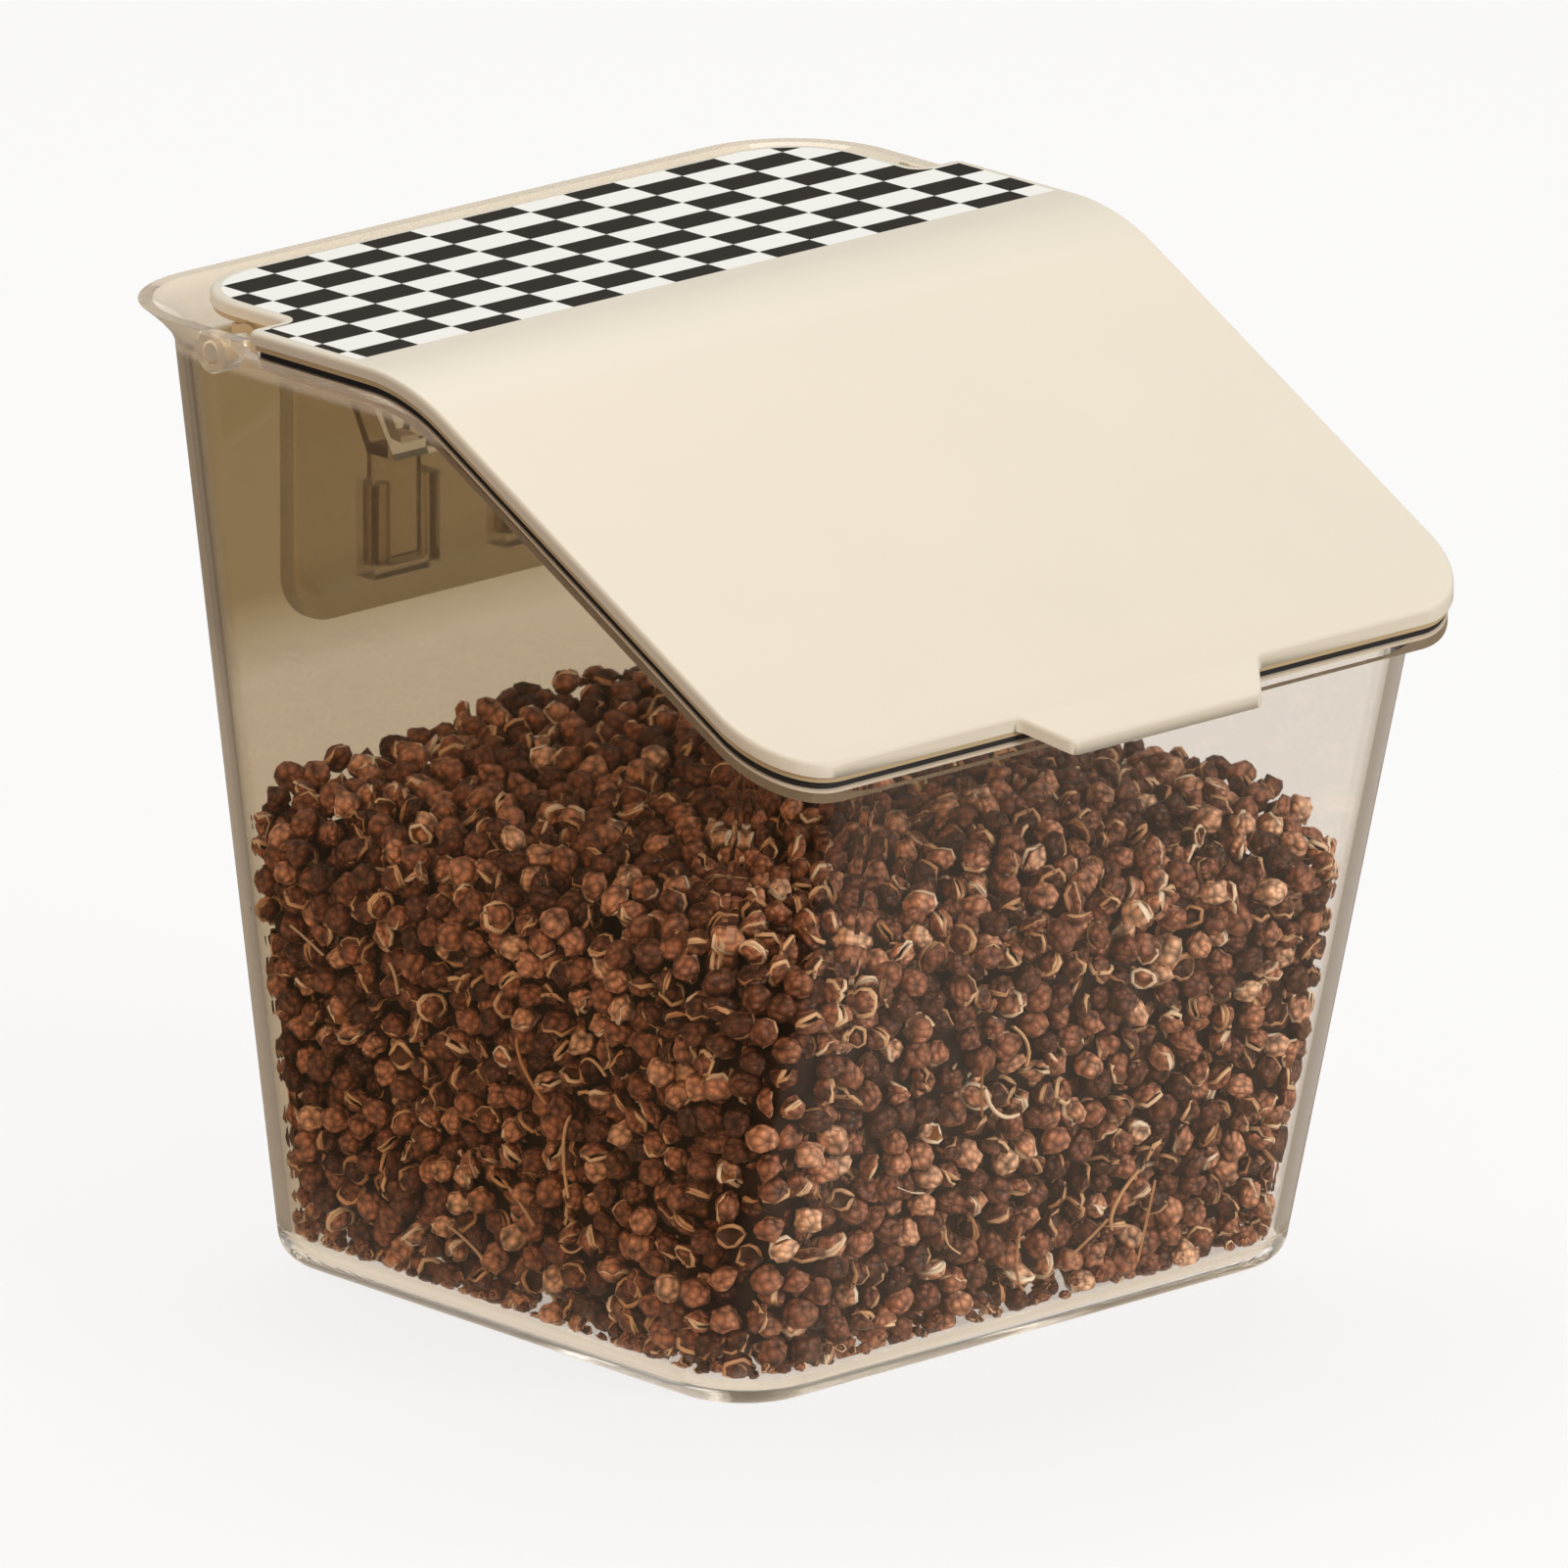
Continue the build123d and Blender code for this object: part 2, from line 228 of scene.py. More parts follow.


# Painted table: white with the box's soft shadow to the camera, and to mirrored and scattered rays
# a glow in painted tones: painted reflection graded to brown at the left, painted light under the
# box
def makeFloor(s):
    bpy.ops.mesh.primitive_plane_add(size=s["floorSize"], location=(0, 0, -s["floorGap"]))
    floor = bpy.context.object
    floor.name = "studioFloor"
    material, tree = newMaterial("paintedPaleTable")
    rays = viewRays(tree)
    place = addNode(tree, "ShaderNodeTexCoord").outputs["Object"]
    axes = addNode(tree, "ShaderNodeSeparateXYZ", {0: place}).outputs
    leftEdge, rightEdge = s["mirroredEdges"]
    across = addNode(
        tree,
        "ShaderNodeMapRange",
        {"Value": axes["X"], "From Min": leftEdge, "From Max": rightEdge},
    )
    left = addNode(
        tree,
        "ShaderNodeMix",
        {0: rays["within"], 6: hexColour(s["mirroredLeft"]), 7: hexColour(s["mirroredInside"])},
        data_type="RGBA",
    )
    graded = addNode(
        tree,
        "ShaderNodeMix",
        {0: across, 6: left.outputs[2], 7: hexColour(s["mirroredRight"])},
        data_type="RGBA",
    )
    inside = []
    for axis, half in zip("XY", s["footprint"]):
        size = addNode(tree, "ShaderNodeMath", {0: axes[axis]}, operation="ABSOLUTE")
        inside.append(addNode(tree, "ShaderNodeMath", {0: size, 1: half}, operation="LESS_THAN"))
    under = addNode(tree, "ShaderNodeMath", {0: inside[0], 1: inside[1]}, operation="MULTIPLY")
    mirrored = addNode(
        tree,
        "ShaderNodeMix",
        {0: under, 6: graded.outputs[2], 7: hexColour(s["paintedGlowUnder"])},
        data_type="RGBA",
    )
    lit = addNode(tree, "ShaderNodeBsdfDiffuse", {"Color": hexColour(s["floorColour"])})
    glow = addNode(tree, "ShaderNodeEmission", {"Color": (1, 1, 1, 1), "Strength": 1.0})
    pale = addNode(tree, "ShaderNodeMixShader", {0: s["floorWhite"], 1: lit, 2: glow})
    # The tones glow: painted reflection, and painted light on the box
    tone = addNode(tree, "ShaderNodeEmission", {"Color": mirrored.outputs[2], "Strength": 1.0})
    look = addNode(tree, "ShaderNodeMixShader", {0: rays["seen"], 1: tone, 2: pale})
    finishMaterial(tree, look)
    paint(floor, material)


for name, settings in studio["lamps"].items():
    makeLamp(name, settings)
makeWorld(studio)
makeFloor(studio)
print("camera, lamps and floor done")

# The fine grain of all the matt and satin surfaces, from the moulds
grainDepth = 0.05 * mm
cloudSize = 18 * mm  # slow changes of tone and gloss


# Satin ABS, injection moulded: an even colour with a fine spark-eroded grain
def satinPlastic(name, colour, roughness, grain=0.35 * mm, bump=0.06, mottle=0.006):
    material, tree = newMaterial(name)
    place = addNode(tree, "ShaderNodeTexCoord").outputs["Object"]
    cloud = addNode(
        tree, "ShaderNodeTexNoise", {"Vector": place, "Scale": 1 / cloudSize, "Detail": 2.0}
    )
    shade = addNode(
        tree,
        "ShaderNodeMapRange",
        {
            "Value": cloud,
            "From Min": 0.3,
            "From Max": 0.7,
            "To Min": 1 - mottle,
            "To Max": 1 + mottle,
        },
    )
    tint = addNode(
        tree,
        "ShaderNodeMix",
        {0: 1.0, 6: hexColour(colour), 7: shade},
        data_type="RGBA",
        blend_type="MULTIPLY",
    )
    gloss = addNode(
        tree,
        "ShaderNodeMapRange",
        {"Value": cloud, "To Min": roughness - 0.04, "To Max": roughness + 0.04},
    )
    speck = addNode(
        tree, "ShaderNodeTexNoise", {"Vector": place, "Scale": 1 / grain, "Detail": 3.0}
    )
    relief = addNode(
        tree, "ShaderNodeBump", {"Height": speck, "Strength": bump, "Distance": grainDepth}
    )
    body = addNode(
        tree,
        "ShaderNodeBsdfPrincipled",
        {"Base Color": tint.outputs[2], "Roughness": gloss, "Normal": relief, "IOR": 1.53},
    )
    finishMaterial(tree, body)
    return material


# Clear SAN, injection moulded: glossy and nearly colourless. Its back wall is brown with painted
# shade, darkest at the top under the lid; a pale satin band under the lid's seal is a painted
# highlight, and the collar is slightly milky and warmer
clearWall = {
    "ior": 1.57,
    "roughness": 0.02,
    "tint": "#FBF6F0",
    "shadowClear": 0.98,  # what a lamp's light keeps at each of its surfaces
    # Painted shade on the back wall: brown, darker from the low height up to the top height, as
    # under the lid
    "paintedShadeTop": "#957F59",
    "paintedShadeLow": "#CBBA9E",
    "paintedShadeLowHeight": 72 * mm,
    "paintedShadeTopHeight": 83 * mm,
    "backWallFoot": 33.0 * mm,  # the painted shade starts in the back corners, measured at the floor
    "backWallLean": 0.105,
    "paintedShadeDepth": 10.0 * mm,
    "hangerFoot": 46.0 * mm,  # the hanger tongues stand behind this
    "collarFoot": 117.0 * mm,  # the collar round the lid's heel starts here, clear of the painted shade
    "collarBlur": 1.2 * mm,
    "collarTint": "#F7ECD8",
    "collarClear": 0.7,
    "flange": (3.2 * mm, 3.8 * mm),  # depths below the lid's top of its pale band, a painted highlight
    "flangeRear": 32.9 * mm,
    "flangeHighlightTint": "#E6D8C0",
    "flangeRoughness": 0.35,
    "flangeClear": 0.05,
    "bendCentre": (0, 10.76 * mm, 95 * mm),
    "bendRadius": 30 * mm,
    "slope": 28.3,  # degrees, of the lid's front half
}


# 1 in the flange's pale satin band, a painted highlight, which follows the lid's bend
def paintedHighlightMask(tree, place, w):
    arm = addNode(
        tree, "ShaderNodeVectorMath", {0: place, 1: w["bendCentre"]}, operation="SUBTRACT"
    )
    height = None
    for angle in (0, w["slope"] / 2, w["slope"]):
        normal = (0, -math.sin(math.radians(angle)), math.cos(math.radians(angle)))
        along = addNode(tree, "ShaderNodeVectorMath", {0: arm, 1: normal}, operation="DOT_PRODUCT")
        reach = along.outputs["Value"]
        if height:
            reach = addNode(tree, "ShaderNodeMath", {0: height, 1: reach}, operation="MAXIMUM")
        height = reach
    top, foot = (w["bendRadius"] - depth for depth in w["flange"])
    middle, half = (top + foot) / 2, (top - foot) / 2
    level = addNode(tree, "ShaderNodeMath", {0: height, 1: middle, 2: half}, operation="COMPARE")
    y = addNode(tree, "ShaderNodeSeparateXYZ", {0: place}).outputs["Y"]
    ahead = addNode(tree, "ShaderNodeMath", {0: y, 1: w["flangeRear"]}, operation="LESS_THAN")
    return addNode(tree, "ShaderNodeMath", {0: level, 1: ahead}, operation="MULTIPLY")


def clearMoulding(w):
    material, tree = newMaterial("clearSanInjectionMoulded")
    place = addNode(tree, "ShaderNodeTexCoord").outputs["Object"]
    axes = addNode(tree, "ShaderNodeSeparateXYZ", {0: place}).outputs
    lean = addNode(
        tree, "ShaderNodeMath", {0: axes["Z"], 1: w["backWallLean"]}, operation="MULTIPLY"
    )
    depth = addNode(tree, "ShaderNodeMath", {0: axes["Y"], 1: lean}, operation="SUBTRACT")
    paintedShadeEnd = w["backWallFoot"] + w["paintedShadeDepth"]
    atBack = addNode(
        tree,
        "ShaderNodeMapRange",
        {"Value": depth, "From Min": w["backWallFoot"], "From Max": paintedShadeEnd},
    )
    hanger = addNode(
        tree, "ShaderNodeMath", {0: depth, 1: w["hangerFoot"]}, operation="GREATER_THAN"
    )
    onWall = addNode(tree, "ShaderNodeMath", {0: atBack, 1: hanger}, operation="SUBTRACT")
    collarLine = w["collarFoot"] + w["collarBlur"]
    underCollar = addNode(
        tree,
        "ShaderNodeMapRange",
        {"Value": axes["Z"], "From Min": collarLine, "From Max": w["collarFoot"]},
    )
    # Where the back wall gets its painted shade
    paintedShadeMask = addNode(tree, "ShaderNodeMath", {0: onWall, 1: underCollar}, operation="MULTIPLY")
    height = addNode(
        tree,
        "ShaderNodeMapRange",
        {"Value": axes["Z"], "From Min": w["paintedShadeLowHeight"], "From Max": w["paintedShadeTopHeight"]},
    )
    paintedShadeColour = addNode(
        tree,
        "ShaderNodeMix",
        {0: height, 6: hexColour(w["paintedShadeLow"]), 7: hexColour(w["paintedShadeTop"])},
        data_type="RGBA",
    )
    wallTone = addNode(
        tree,
        "ShaderNodeMix",
        {0: paintedShadeMask, 6: hexColour(w["tint"]), 7: paintedShadeColour.outputs[2]},
        data_type="RGBA",
    )
    withCollar = addNode(
        tree,
        "ShaderNodeMix",
        {0: underCollar, 6: hexColour(w["collarTint"]), 7: wallTone.outputs[2]},
        data_type="RGBA",
    )
    # The flange's painted highlight: an almost opaque pale satin band in the clear wall
    flange = paintedHighlightMask(tree, place, w)
    colour = addNode(
        tree,
        "ShaderNodeMix",
        {0: flange, 6: withCollar.outputs[2], 7: hexColour(w["flangeHighlightTint"])},
        data_type="RGBA",
    )
    gloss = addNode(
        tree,
        "ShaderNodeMapRange",
        {"Value": flange, "To Min": w["roughness"], "To Max": w["flangeRoughness"]},
    )
    milky = addNode(
        tree,
        "ShaderNodeMapRange",
        {
            "Value": axes["Z"],
            "From Min": w["collarFoot"],
            "From Max": collarLine,
            "To Min": 1.0,
            "To Max": w["collarClear"],
        },
    )
    clear = addNode(
        tree, "ShaderNodeMix", {0: flange, 2: milky, 3: w["flangeClear"]}, data_type="FLOAT"
    )
    glass = addNode(
        tree,
        "ShaderNodeBsdfPrincipled",
        {
            "Base Color": colour.outputs[2],
            "Roughness": gloss,
            "IOR": w["ior"],
            "Transmission Weight": clear,
        },
    )
    through = addNode(tree, "ShaderNodeBsdfTransparent", {"Color": (w["shadowClear"],) * 3 + (1,)})
    shadow = addNode(tree, "ShaderNodeLightPath").outputs["Is Shadow Ray"]
    wall = addNode(tree, "ShaderNodeMixShader", {0: shadow, 1: glass, 2: through})
    finishMaterial(tree, wall)
    return material


paint(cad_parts["tub"], clearMoulding(clearWall))

# The wall plate: etched clear plastic, which scatters what shines through, darker at its foot with
# painted shade
plate = {
    "top": "#F7EFE2",
    # painted shade at the plate's foot
    "foot": "#B5A78C",
    "footHeight": 74 * mm,
    "topHeight": 84 * mm,
    "roughness": 0.25,
    "ior": 1.45,
    "grain": 0.6 * mm,
}


def frostedPlastic(f):
    material, tree = newMaterial("frostedSanPlate")
    place = addNode(tree, "ShaderNodeTexCoord").outputs["Object"]
    z = addNode(tree, "ShaderNodeSeparateXYZ", {0: place}).outputs["Z"]
    height = addNode(
        tree,
        "ShaderNodeMapRange",
        {"Value": z, "From Min": f["footHeight"], "From Max": f["topHeight"]},
    )
    colour = addNode(
        tree,
        "ShaderNodeMix",
        {0: height, 6: hexColour(f["foot"]), 7: hexColour(f["top"])},
        data_type="RGBA",
    )
    speck = addNode(
        tree, "ShaderNodeTexNoise", {"Vector": place, "Scale": 1 / f["grain"], "Detail": 3.0}
    )
    relief = addNode(
        tree, "ShaderNodeBump", {"Height": speck, "Strength": 0.1, "Distance": grainDepth}
    )
    body = addNode(
        tree,
        "ShaderNodeBsdfPrincipled",
        {
            "Base Color": colour.outputs[2],
            "Roughness": f["roughness"],
            "Normal": relief,
            "IOR": f["ior"],
            "Transmission Weight": 1.0,
        },
    )
    finishMaterial(tree, body)
    return material


# Clear soft acrylic tape, stuck flat on the plate: it hardly shows
def gelTape(name, colour, alpha):
    material, tree = newMaterial(name)
    body = addNode(
        tree,
        "ShaderNodeBsdfPrincipled",
        {"Base Color": hexColour(colour), "Roughness": 0.3, "IOR": 1.47, "Alpha": alpha},
    )
    finishMaterial(tree, body)
    return material


# The lid's cover: cream ABS with a checker printed on its flat back half
cover = {
    "colour": "#EFE7D3",
    "roughness": 0.42,
    "printFront": 13.6 * mm,  # the checker starts behind the bend
    "border": 0.7 * mm,
    "squareWidth": 8.58 * mm,
    "squareDepth": 4.71 * mm,
    "firstColumn": -5.78 * mm,
    "firstRow": 17.1 * mm,
    "light": "#FFFEF6",
    "dark": "#241A0A",
    "inkGrain": 0.35 * mm,
    "weld": 0.002 * mm,  # points of the loose triangles that are nearer than this are one
    "flatAngle": 0.4,  # degrees, under which neighbouring triangles are one flat face
    "smoothAngle": 35,
}


# Pad-printed ink on the satin cover: two colours, a little more matt than the plastic
def checkerPrint(c):
    material, tree = newMaterial("padPrintedChecker")
    place = addNode(tree, "ShaderNodeTexCoord").outputs["Object"]
    width, depth = c["squareWidth"], c["squareDepth"]
    squares = addNode(
        tree,
        "ShaderNodeMapping",
        {
            "Vector": place,
            "Location": (-c["firstColumn"] / width, -c["firstRow"] / depth, 0.5),
            "Scale": (1 / width, 1 / depth, 0),
        },
    )
    checker = addNode(
        tree,
        "ShaderNodeTexChecker",
        {
            "Vector": squares,
            "Color1": hexColour(c["dark"]),
            "Color2": hexColour(c["light"]),
            "Scale": 1.0,
        },
    )
    speck = addNode(
        tree, "ShaderNodeTexNoise", {"Vector": place, "Scale": 1 / c["inkGrain"], "Detail": 3.0}
    )
    relief = addNode(
        tree, "ShaderNodeBump", {"Height": speck, "Strength": 0.04, "Distance": grainDepth}
    )
    ink = addNode(
        tree,
        "ShaderNodeBsdfPrincipled",
        {
            "Base Color": checker,
            "Roughness": 0.5,
            "Normal": relief,
            "IOR": 1.5,
            "Specular IOR Level": 0.2,
        },
    )
    finishMaterial(tree, ink)
    return material


def makeCover(c):
    piece = bpy.data.objects.new("lid_cover_printed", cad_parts["lid_cover"].data.copy())
    bpy.context.collection.objects.link(piece)
    makeActive(piece)
    paint(piece, satinPlastic("creamAbsMoulded", c["colour"], c["roughness"]), checkerPrint(c))
    bpy.ops.object.mode_set(mode="EDIT")
    bpy.ops.mesh.select_all(action="SELECT")
    bpy.ops.mesh.remove_doubles(threshold=c["weld"])
    bpy.ops.mesh.dissolve_limited(angle_limit=math.radians(c["flatAngle"]))
    bpy.ops.mesh.select_all(action="SELECT")
    bpy.ops.mesh.bisect(plane_co=(0, c["printFront"] - c["border"], 0), plane_no=(0, 1, 0))
    bpy.ops.mesh.select_all(action="DESELECT")
    mesh = bmesh.from_edit_mesh(piece.data)
    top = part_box("lid_cover")[1].z - 0.01 * mm
    for face in mesh.faces:
        middle = face.calc_center_median()
        face.select = face.normal.z > 0.999 and middle.y > c["printFront"] and middle.z > top
    bmesh.update_edit_mesh(piece.data)
    bpy.ops.mesh.inset(thickness=c["border"], depth=0)
    piece.active_material_index = 1
    bpy.ops.object.material_slot_assign()
    bpy.ops.object.mode_set(mode="OBJECT")
    bpy.ops.object.shade_smooth_by_angle(angle=math.radians(c["smoothAngle"]))
    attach(piece, "lid")
    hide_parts("lid_cover")


makeCover(cover)

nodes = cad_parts
tanAbs = satinPlastic("tanAbsMoulded", "#CDB78F", 0.4)
blackSilicone = satinPlastic("blackSiliconeMoulded", "#16120F", 0.6, bump=0.03, mottle=0.08)
creamAcetal = satinPlastic("creamAcetalTurned", "#E8DFC9", 0.35)
paint(nodes["lid_liner"], tanAbs)
paint(nodes["lid_seal"], blackSilicone)
paint(nodes["hinge_pin_left"], creamAcetal)
paint(nodes["hinge_pin_right"], creamAcetal)
paint(nodes["wall_plate"], frostedPlastic(plate))
paint(nodes["adhesive_pad"], gelTape("clearAcrylicGelTape", "#E9E2D4", 0.08))
print("box finished")

# The inside of the tub in mm, as its CAD has it; the half sizes are those at height 0
hold = {
    "halfWidth": 48.2,
    "halfDepth": 43.9,
    "sideLean": 0.052,  # how far each wall goes out for 1 mm up
    "frontLean": 0.205,
    "rearLean": 0.105,
    "floor": 2.2,
    "corner": 10.2,  # radius of the upright corners
    "foot": 3.0,  # radius of the floor's edge
}

# Peppercorns, as stage props: they show how the clear tub looks when it is full
spice = {
    "seed": 11,
    "radius": 2.15 * mm,
    "berries": {"berryRound": (1.0, 0.16), "berryDented": (0.95, 0.3)},  # size and dents
    "huskDents": 0.2,
    "huskWall": 0.6 * mm,
    "huskTear": 0.5,  # how deep the rims are torn, in radii
    "huskReach": 1.08,  # the outermost point, in radii
    "openings": {"huskShut": 14, "huskSplit": 36, "huskOpen": 70},  # degrees between two shells
    "shares": (0.24, 0.19, 0.31, 0.16, 0.06, 0.04),  # of those five kinds and of single shells
    "stretch": (0.8, 1.06),
    "wart": 1.3 * mm,
    "wartDepth": 0.9 * mm,
    "skin": (
        (0.0, "#4A2C1F"),
        (0.4, "#80523C"),
        (0.7, "#AA7458"),
        (0.9, "#CC9676"),
        (1.0, "#E8BE9C"),
    ),
    "rim": ((0.0, "#C4946A"), (0.5, "#EAC69A"), (1.0, "#FFF4DC")),
    # the inside of the shells, painted dark as shade
    "hollowPaintedShade": ((0.0, "#3A2416"), (0.6, "#6A4428"), (1.0, "#A87444")),
    # painted shade of the berries deep in the heap
    "coreShadeTone": ((0.0, "#2A1A12"),),
}

# Where they lie. A layer is a range in mm from the walls or the heap's top to a berry's centre
heap = {
    "candidates": 1200000,
    "candidateBox": ((-56, -62, 2), (56, 53, 72)),
    "spacing": 3.2,
    "footRow": (2.05, 2.4, 5.2),  # the first row along the floor's edge, below this height
    "layers": ((2.05, 2.4), (2.4, 3.9), (4.4, 5.6), (6.5, 7.4)),
    "crumbs": (0.98, 1.35, 6.0),  # broken bits between that row and the walls
    "crumbSpacing": 1.7,
    "crumbReach": 4.0,  # from the walls
    "crumbLift": 10,  # points are lifted so far to find their distance from the walls alone
    "crumbSize": 0.45,
    "level": 62.4,
    "swells": ((3.0, 6, 24), (-6.0, -52, 7)),  # height, middle and width across the box
    "frontFall": (-8.0, -57, 13),  # the same from front to back
    "ripples": (0.5, 0.4),
    "coreGap": 5.2,
    "coreHeight": 56,
    "coreDepth": 6,  # the core's corners stay this far under the heap's top
    "coreCorner": 5,
}

# Thin pale stems, pressed flat against the walls
stems = {
    "onEachWall": 9,
    "reach": (8 * mm, 6 * mm),  # half length, and how far the curve swings
    "radius": 0.25 * mm,
    "heights": (8, 54),  # mm, as in the next two lines
    "along": (-36, 36),
    "inset": 0.4,  # from the wall
    "lengths": (0.2, 0.8),  # stretch of the curve
    "swings": (-1.3, 1.3),
}


# Dried pepper husk: matt, warty, dark red-brown skin, painted lighter on the warts and much darker
# between them: painted highlight and shade over the real relief
def huskSkin(s):
    material, tree = newMaterial("driedPepperSkin")
    place = addNode(tree, "ShaderNodeTexCoord").outputs["Object"]
    chance = addNode(tree, "ShaderNodeObjectInfo").outputs["Random"]
    hue = addNode(tree, "ShaderNodeValToRGB", {"Fac": chance}, stops=s["skin"])
    warts = addNode(tree, "ShaderNodeTexVoronoi", {"Vector": place, "Scale": 1 / s["wart"]})
    # Painted highlight on the warts' tops and painted shade in the pits between them
    shade = addNode(tree, "ShaderNodeMapRange", {"Value": warts, "To Min": 2.0, "To Max": 0.1})
    tint = addNode(
        tree,
        "ShaderNodeMix",
        {0: 1.0, 6: hue, 7: shade},
        data_type="RGBA",
        blend_type="MULTIPLY",
    )
    relief = addNode(
        tree,
        "ShaderNodeBump",
        {"Height": warts, "Strength": 1.0, "Distance": s["wartDepth"]},
        invert=True,
    )
    body = addNode(
        tree,
        "ShaderNodeBsdfPrincipled",
        {"Base Color": tint.outputs[2], "Roughness": 0.4, "Normal": relief, "IOR": 1.45},
    )
    finishMaterial(tree, body)
    return material


# Matt dried plant matter, in one tone or in a range of tones, one to a piece
def driedMatter(name, tones):
    material, tree = newMaterial(name)
    hue = hexColour(tones[0][1])
    if len(tones) > 1:
        chance = addNode(tree, "ShaderNodeObjectInfo").outputs["Random"]
        hue = addNode(tree, "ShaderNodeValToRGB", {"Fac": chance}, stops=tones)
    body = addNode(
        tree, "ShaderNodeBsdfPrincipled", {"Base Color": hue, "Roughness": 0.55, "IOR": 1.45}
    )
    finishMaterial(tree, body)
    return material


def makeBerry(name, radius, dents, layers):
    bpy.ops.mesh.primitive_ico_sphere_add(subdivisions=2, radius=radius)
    berry = bpy.context.object
    berry.name = name
    for vertex in berry.data.vertices:
        vertex.co *= random.uniform(1 - dents, 1 + dents * 0.4)
    bpy.ops.object.shade_smooth()
    paint(berry, *layers)
    return berry


# Half shells, open by an angle, with a pale torn rim and a hollow painted dark as shade
def makeHusk(name, s, opening, shells, layers):
    radius = s["radius"]
    halves = []
    for side in range(shells):
        half = makeBerry(name, radius, s["huskDents"], layers)
        makeActive(half)
        bpy.ops.object.mode_set(mode="EDIT")
        bpy.ops.mesh.select_all(action="SELECT")
        bpy.ops.mesh.bisect(plane_co=(0, 0, 0), plane_no=(0, 0, 1), clear_outer=True)
        bpy.ops.object.mode_set(mode="OBJECT")
        for vertex in half.data.vertices:
            if vertex.co.z > -0.01 * radius:
                vertex.co.z -= random.uniform(0, s["huskTear"]) * radius
        shell = half.modifiers.new("wall", "SOLIDIFY")
        shell.thickness = s["huskWall"]
        shell.offset = -1
        shell.material_offset = 2
        shell.material_offset_rim = 1
        bpy.ops.object.modifier_apply(modifier="wall")
        flip = Matrix.Rotation(math.pi * side, 4, "Y")
        swing = Matrix.Rotation(math.radians(opening / 2) * (1 if side == 0 else -1), 4, "Y")
        hinge = Matrix.Translation((radius, 0, 0))
        half.data.transform(hinge @ swing @ hinge.inverted() @ flip)
        halves.append(half)
    deselectAll()
    for half in halves:
        half.select_set(True)
    bpy.context.view_layer.objects.active = halves[0]
    if shells > 1:
        bpy.ops.object.join()
    husk = bpy.context.view_layer.objects.active
    husk.name = name
    corners = [Vector(corner) for corner in husk.bound_box]
    middle = (corners[0] + corners[6]) / 2
    reach = max((vertex.co - middle).length for vertex in husk.data.vertices)
    fit = Matrix.Scale(s["huskReach"] * radius / reach, 4)
    husk.data.transform(fit @ Matrix.Translation(-middle))
    return husk


# Depth in mm inside the tub's hold and under the heap's top; the hold's corners are rounded
def insideDistance(points):
    x, y, z = points.T
    half = hold["halfWidth"] + hold["sideLean"] * z
    front = -(hold["halfDepth"] + hold["frontLean"] * z)
    rear = hold["halfDepth"] + hold["rearLean"] * z
    middle, reach = (front + rear) / 2, (rear - front) / 2
    corner, foot = hold["corner"], hold["foot"]
    pastX = np.abs(x) - (half - corner)
    pastY = np.abs(y - middle) - (reach - corner)
    pastBoth = np.hypot(np.maximum(pastX, 0), np.maximum(pastY, 0))
    side = corner - pastBoth - np.minimum(np.maximum(pastX, pastY), 0)
    bottom = z - hold["floor"]
    edge = foot - np.hypot(np.maximum(foot - side, 0), np.maximum(foot - bottom, 0))
    depth = np.where((side < foot) & (bottom < foot), edge, np.minimum(side, bottom))
    return np.minimum(depth, heapHeight(x, y) - z)


def heapHeight(x, y):
    top = heap["level"]
    for height, middle, width in heap["swells"]:
        top = top + height * np.exp(-(((x - middle) / width) ** 2))
    height, middle, width = heap["frontFall"]
    top = top + height * np.exp(-(((y - middle) / width) ** 2))
    coarse, fine = heap["ripples"]
    ripple = coarse * np.sin(x / 6.1 + 0.8) * np.sin(y / 7.3 + 0.4)
    return top + ripple + fine * np.sin(x / 3.1 + y / 4.2)


# A dark block in the middle of the heap, so that no light shines through between the berries; its
# colour is painted shade, as deep in the heap
def makeCore(h, material):
    bpy.ops.mesh.primitive_cube_add(size=1)
    core = bpy.context.object
    core.name = "heapCore"
    for vertex in core.data.vertices:
        height = h["coreHeight"] if vertex.co.z > 0 else hold["floor"] + h["coreGap"]
        width = hold["halfWidth"] + hold["sideLean"] * height - h["coreGap"]
        lean = hold["rearLean"] if vertex.co.y > 0 else hold["frontLean"]
        depth = hold["halfDepth"] + lean * height - h["coreGap"]
        x, y = math.copysign(width, vertex.co.x), math.copysign(depth, vertex.co.y)
        if vertex.co.z > 0:
            height = heapHeight(x, y) - h["coreDepth"]
        vertex.co = Vector((x, y, height)) * mm
    bpy.ops.object.mode_set(mode="EDIT")
    mesh = bmesh.from_edit_mesh(core.data)
    for edge in mesh.edges:
        start, end = (vertex.co.z for vertex in edge.verts)
        edge.select = abs(start - end) > 0.5 * h["coreHeight"] * mm
    mesh.select_flush(True)
    bmesh.update_edit_mesh(core.data)
    bpy.ops.mesh.bevel(offset=h["coreCorner"] * mm, segments=6)
    bpy.ops.object.mode_set(mode="OBJECT")
    paint(core, material)


# Candidates in turn, each kept if no kept one is nearer than a step
def thinOut(groups, step):
    cells = {}
    chosen = []
    for points in groups:
        for point in points:
            cell = tuple((point // step).astype(int))
            near = [
                other
                for dx in (-1, 0, 1)
                for dy in (-1, 0, 1)
                for dz in (-1, 0, 1)
                for other in cells.get((cell[0] + dx, cell[1] + dy, cell[2] + dz), ())
            ]
            if all(((point - other) ** 2).sum() > step * step for other in near):
                cells.setdefault(cell, []).append(point)
                chosen.append(point)
    return chosen


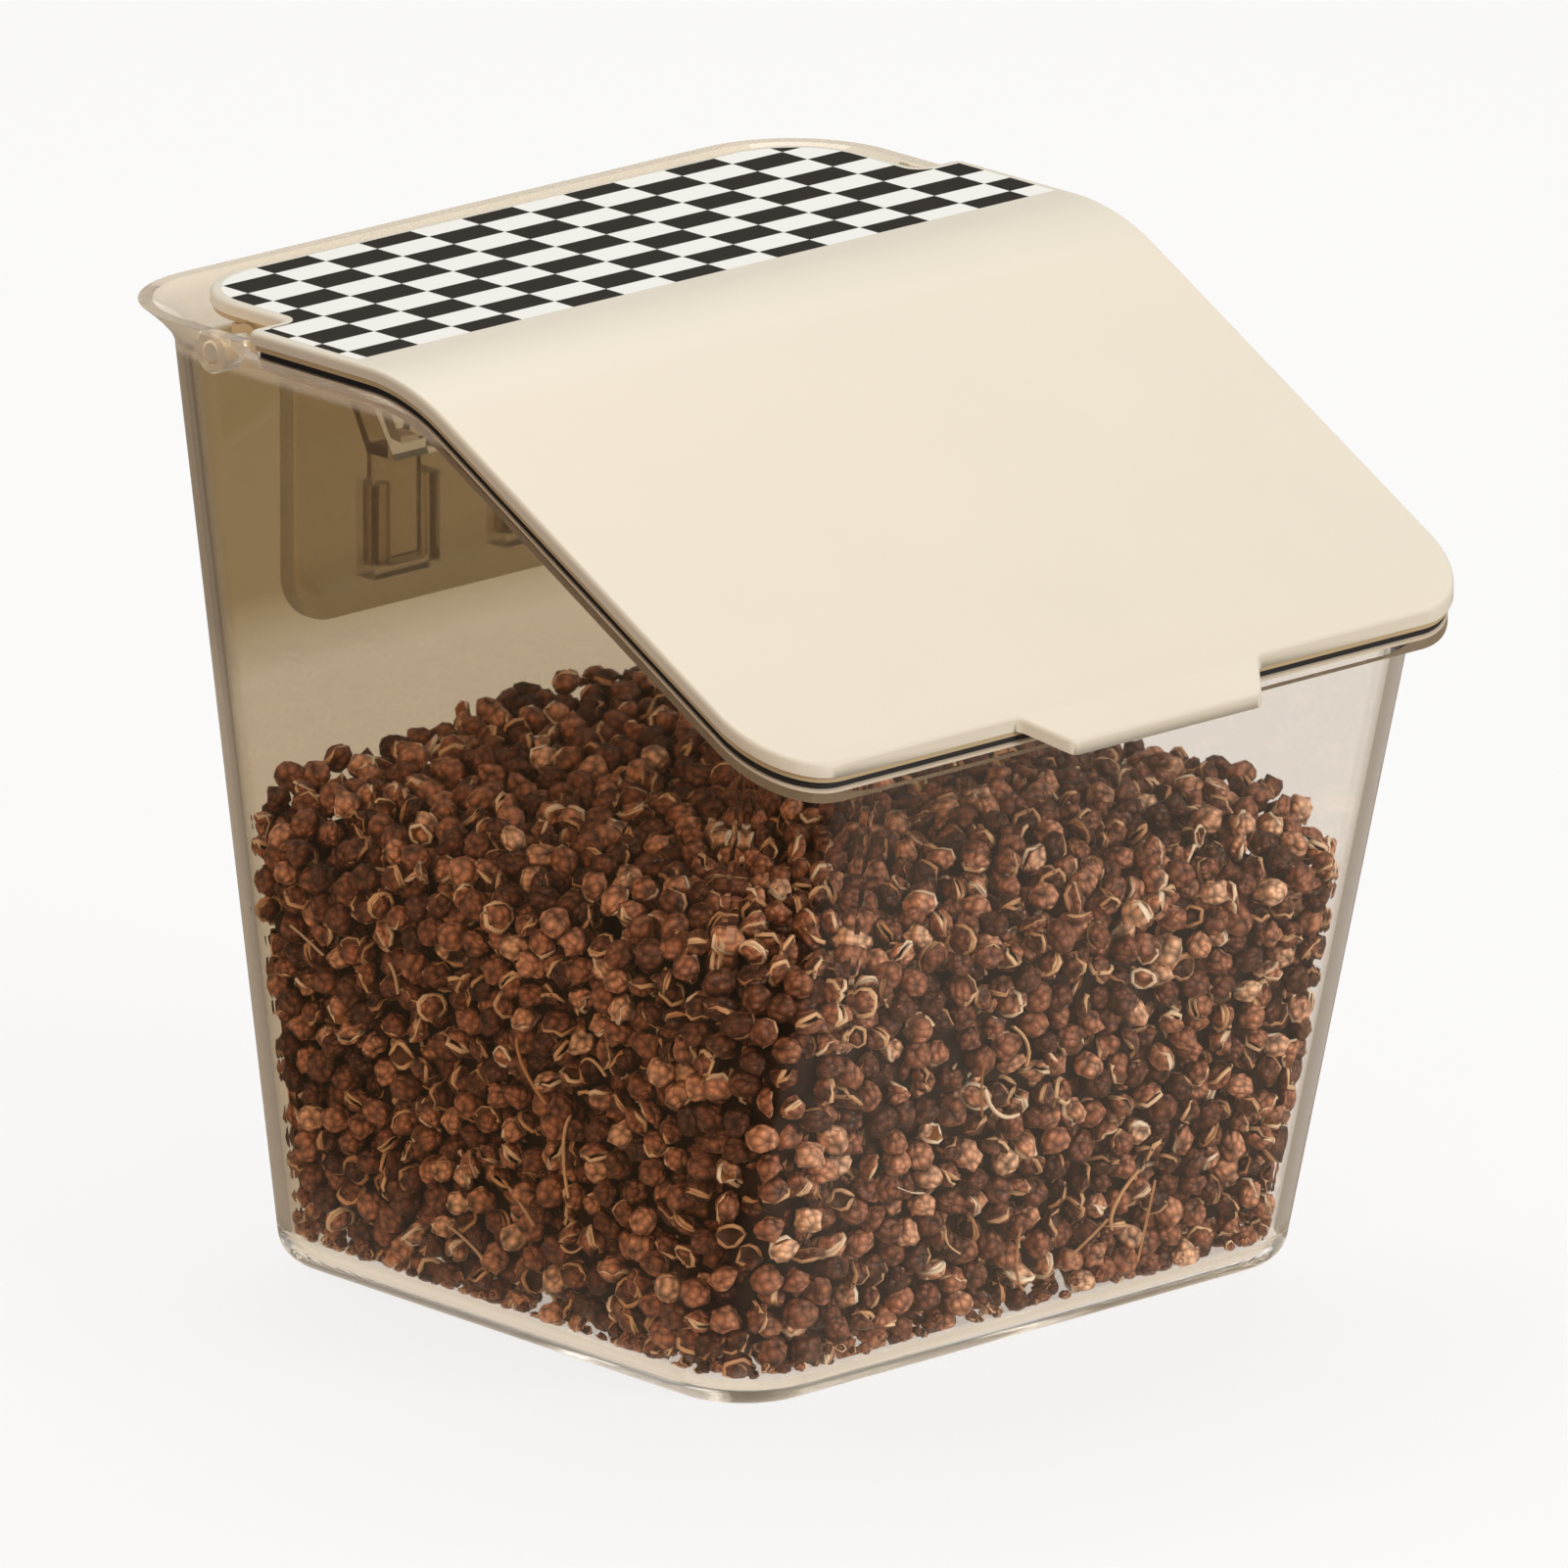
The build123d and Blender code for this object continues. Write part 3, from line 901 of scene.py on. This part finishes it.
def spreadBerries(h, seed):
    draw = np.random.default_rng(seed)
    points = draw.uniform(*h["candidateBox"], (h["candidates"], 3))
    depth = insideDistance(points)
    low, high, ceiling = h["footRow"]
    groups = [points[(depth > low) & (depth < high) & (points[:, 2] < ceiling)]]
    groups += [points[(depth > low) & (depth < high)] for low, high in h["layers"]]
    low, high, ceiling = h["crumbs"]
    bits = points[(depth > low) & (depth < high) & (points[:, 2] < ceiling)]
    bits = bits[insideDistance(bits + (0, 0, h["crumbLift"])) < h["crumbReach"]]
    return thinOut(groups, h["spacing"]), thinOut([bits], h["crumbSpacing"])


def makeStems(s, pile, material):
    length, swing = s["reach"]
    bpy.ops.curve.primitive_bezier_curve_add()
    stem = bpy.context.object
    stem.data.bevel_depth = s["radius"]
    stem.data.bevel_resolution = 1
    start, end = stem.data.splines[0].bezier_points
    start.co = start.handle_left = (-length, 0, 0)
    start.handle_right = (-length / 3, swing, 0)
    end.co = (length, 0, 0)
    end.handle_left = (length / 3, -swing / 2, 0)
    end.handle_right = (length, 0, 0)
    bpy.ops.object.convert(target="MESH")
    stem = bpy.context.object
    paint(stem, material)
    for side in ("left", "right", "front", "back"):
        sign = -1 if side in ("left", "front") else 1
        for count in range(s["onEachWall"]):
            height = random.uniform(*s["heights"])
            along = random.uniform(*s["along"])
            if side in ("left", "right"):
                lean = hold["sideLean"]
                away = sign * (hold["halfWidth"] + lean * height - s["inset"])
                place, normal = Vector((away, along, height)), Vector((sign, 0, -lean))
            else:
                lean = hold["frontLean"] if side == "front" else hold["rearLean"]
                away = sign * (hold["halfDepth"] + lean * height - s["inset"])
                place, normal = Vector((along, away, height)), Vector((0, sign, -lean))
            turn = normal.to_track_quat("Z", "Y").to_matrix().to_4x4()
            spin = Matrix.Rotation(random.uniform(0, math.tau), 4, "Z")
            size = (random.uniform(*s["lengths"]), random.uniform(*s["swings"]), 1, 1)
            twig = bpy.data.objects.new("pepperStem", stem.data)
            twig.matrix_world = (
                Matrix.Translation(place * mm) @ turn @ spin @ Matrix.Diagonal(size)
            )
            pile.objects.link(twig)
    bpy.data.objects.remove(stem)


def makeHeap(s, h):
    random.seed(s["seed"])
    skin = huskSkin(s)
    rim = driedMatter("pepperHuskRim", s["rim"])
    layers = (skin, rim, driedMatter("pepperHuskInsidePaintedShade", s["hollowPaintedShade"]))
    kinds = [
        makeBerry(name, s["radius"] * size, dents, layers)
        for name, (size, dents) in s["berries"].items()
    ]
    kinds += [makeHusk(name, s, angle, 2, layers) for name, angle in s["openings"].items()]
    kinds.append(makeHusk("huskCup", s, 0, 1, layers))
    makeCore(h, driedMatter("shadedPepper", s["coreShadeTone"]))
    berries, crumbs = spreadBerries(h, s["seed"])
    pile = bpy.data.collections.new("spiceProps")
    bpy.context.scene.collection.children.link(pile)
    sizes = [1] * len(berries) + [h["crumbSize"]] * len(crumbs)
    for place, size in zip(berries + crumbs, sizes):
        corn = bpy.data.objects.new("peppercorn", random.choices(kinds, s["shares"])[0].data)
        turn = Euler([random.uniform(0, math.tau) for axis in range(3)]).to_matrix().to_4x4()
        stretch = [random.uniform(*s["stretch"]) * size for axis in range(3)] + [1]
        corn.matrix_world = (
            Matrix.Translation(Vector(place) * mm) @ turn @ Matrix.Diagonal(stretch)
        )
        pile.objects.link(corn)
    makeStems(stems, pile, rim)
    for kind in kinds:
        bpy.data.objects.remove(kind)
    print("peppercorns:", len(berries), "crumbs:", len(crumbs))


makeHeap(spice, heap)

lightBounces = 64  # the clear floor and walls pass light on many times
bpy.context.scene.view_settings.view_transform = "Standard"
bpy.context.scene.cycles.max_bounces = lightBounces
bpy.context.scene.cycles.transmission_bounces = lightBounces
bpy.context.scene.cycles.glossy_bounces = lightBounces
